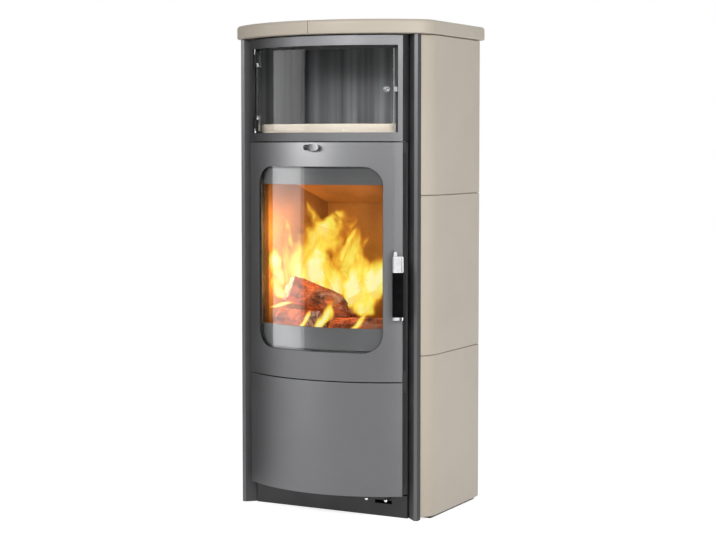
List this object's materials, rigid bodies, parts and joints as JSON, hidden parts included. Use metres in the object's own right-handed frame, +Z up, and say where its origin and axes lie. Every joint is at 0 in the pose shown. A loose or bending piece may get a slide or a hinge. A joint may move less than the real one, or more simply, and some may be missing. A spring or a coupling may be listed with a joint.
{
  "type": "tiled wood stove",
  "caption": "Tall wood stove with pale ceramic side tiles, a ceramic top plate, a bowed dark steel front, a large fire window and a glass-fronted warming compartment above it.",
  "frame": {"origin": "centre of the stove's outline, on the floor", "axes": "+X to the stove's right as seen from the front, -Y towards the front, +Z up"},
  "size_m": [0.57, 0.457, 1.25],
  "materials": {
    "ceramic_glaze": "satin",
    "anthracite_paint": "metallic satin",
    "black_steel": "matt",
    "zinc_steel": "satin",
    "liner_steel": "satin",
    "bright_chrome": "polished",
    "black_grip": "satin",
    "clear_glass": "polished",
    "seal_rope": "woven",
    "firebrick": "matt",
    "grate_iron": "cast",
    "log_wood": "raw"
  },
  "bodies": {
    "stove_body": {"base_plate": "black_steel", "levelling_screws": "zinc_steel", "body_left_wall": "black_steel", "body_right_wall": "black_steel", "body_back_wall": "black_steel", "body_top_plate": "black_steel", "lower_compartment_floor": "black_steel", "firebox_floor": "black_steel", "firebox_ceiling": "black_steel", "front_flange": "black_steel", "side_profile_left": "anthracite_paint", "side_profile_right": "anthracite_paint", "plinth_plate": "anthracite_paint", "air_duct": "black_steel", "external_air_spigot": "black_steel", "hearth_brick": "firebrick", "firebrick_left": "firebrick", "firebrick_right": "firebrick", "firebrick_back": "firebrick", "smoke_baffle": "firebrick", "flue_deflector": "black_steel", "grate": "grate_iron", "log_retainer": "grate_iron", "firewood": "log_wood", "ash_pan_runners": "zinc_steel", "hinge_ears": "black_steel", "door_catches": "zinc_steel", "warming_frame": "anthracite_paint", "warming_liner": "liner_steel", "warming_slab": "ceramic_glaze", "side_tile_left_lower": "ceramic_glaze", "side_tile_left_middle": "ceramic_glaze", "side_tile_left_upper": "ceramic_glaze", "side_tile_right_lower": "ceramic_glaze", "side_tile_right_middle": "ceramic_glaze", "side_tile_right_upper": "ceramic_glaze", "heat_shield_left": "zinc_steel", "heat_shield_right": "zinc_steel", "back_panel": "black_steel", "back_panel_screws": "zinc_steel", "flue_collar": "black_steel", "top_plate_left": "ceramic_glaze", "top_plate_right": "ceramic_glaze"},
    "fire_door": {"fire_door_skin": "anthracite_paint", "fire_door_frame": "anthracite_paint", "fire_glass": "clear_glass", "glass_seal": "seal_rope", "fire_door_seal": "seal_rope", "frame_screws": "zinc_steel"},
    "fire_handle": {"handle_fittings": "bright_chrome", "handle_grip": "black_grip"},
    "window_air": {"window_air_knob": "bright_chrome"},
    "lower_door": {"lower_door_skin": "anthracite_paint", "lower_door_frame": "black_steel"},
    "warming_door": {"warming_glass": "clear_glass", "warming_hinges": "bright_chrome", "warming_knob": "bright_chrome"},
    "ash_pan": {"ash_pan": "zinc_steel"},
    "primary_air": {"primary_air_rod": "bright_chrome"},
    "secondary_air": {"secondary_air_rod": "bright_chrome"}
  },
  "joints": [
    {"name": "fire_door_hinge", "type": "hinge", "parent": "stove_body", "child": "fire_door", "pos_m": [-0.216, -0.12793, 0.65], "axis": [0, 0, -1], "range_deg": [0, 105]},
    {"name": "fire_handle_turn", "type": "hinge", "parent": "fire_door", "child": "fire_handle", "pos_m": [0.20378, -0.15199, 0.673], "axis": [-0.5417, 0.8406, 0], "range_deg": [0, 60]},
    {"name": "window_air_turn", "type": "hinge", "parent": "fire_door", "child": "window_air", "pos_m": [0.004, -0.2102, 0.934], "axis": [0, -1, 0], "range_deg": [0, 90]},
    {"name": "lower_door_hinge", "type": "hinge", "parent": "stove_body", "child": "lower_door", "pos_m": [-0.216, -0.12793, 0.2], "axis": [0, 0, -1], "range_deg": [0, 105]},
    {"name": "warming_door_hinge", "type": "hinge", "parent": "stove_body", "child": "warming_door", "pos_m": [-0.204, -0.14459, 1.08], "axis": [0, 0, -1], "range_deg": [0, 100]},
    {"name": "ash_pan_slide", "type": "slide", "parent": "stove_body", "child": "ash_pan", "axis": [0, -1, 0], "range_m": [0, 0.075]},
    {"name": "primary_air_slide", "type": "slide", "parent": "stove_body", "child": "primary_air", "axis": [0, -1, 0], "range_m": [0, 0.03]},
    {"name": "secondary_air_slide", "type": "slide", "parent": "stove_body", "child": "secondary_air", "axis": [0, -1, 0], "range_m": [0, 0.03]}
  ]
}
